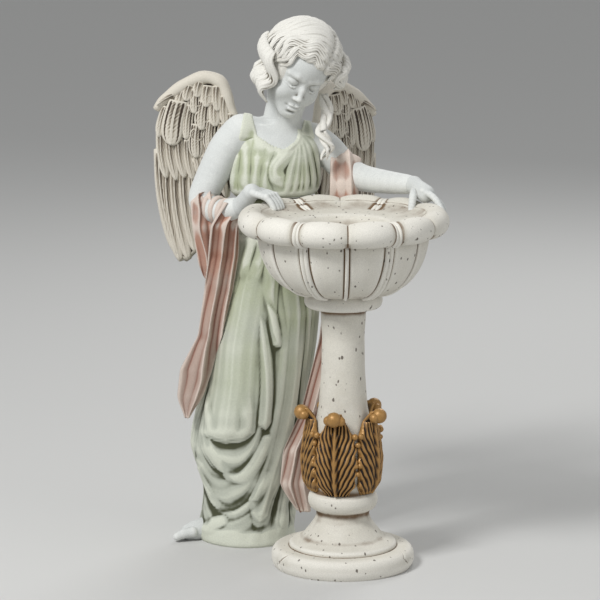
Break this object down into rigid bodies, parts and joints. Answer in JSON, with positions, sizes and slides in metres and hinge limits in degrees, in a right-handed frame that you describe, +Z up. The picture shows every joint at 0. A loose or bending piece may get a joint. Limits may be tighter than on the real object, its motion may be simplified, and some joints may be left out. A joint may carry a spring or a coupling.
{
  "type": "angel bird bath",
  "caption": "Garden statue of a winged angel in a draped gown, leaning with both hands on the lobed rim of a pedestal bird bath with gilded leaves.",
  "frame": {"origin": "middle of the whole object's footprint box, on the ground", "axes": "+Z up; +X to the right as the picture shows the statue; -Y towards the viewer"},
  "size_m": [0.2884, 0.3106, 0.5106],
  "materials": {
    "figure_stone": "matt resin-bound stone, pale grey, with a thin green wash on the gown and terracotta on the scarf",
    "wing_stone": "matt resin-bound stone, pale on the raised feathers and antiqued warm brown in the hollows",
    "bath_stone": "matt speckled cream stone, with gilded leaves over dark brown at the foot of the column"
  },
  "bodies": {
    "root": {"angel_figure": "figure_stone", "right_wing": "wing_stone", "left_wing": "wing_stone", "bird_bath": "bath_stone"}
  },
  "joints": []
}
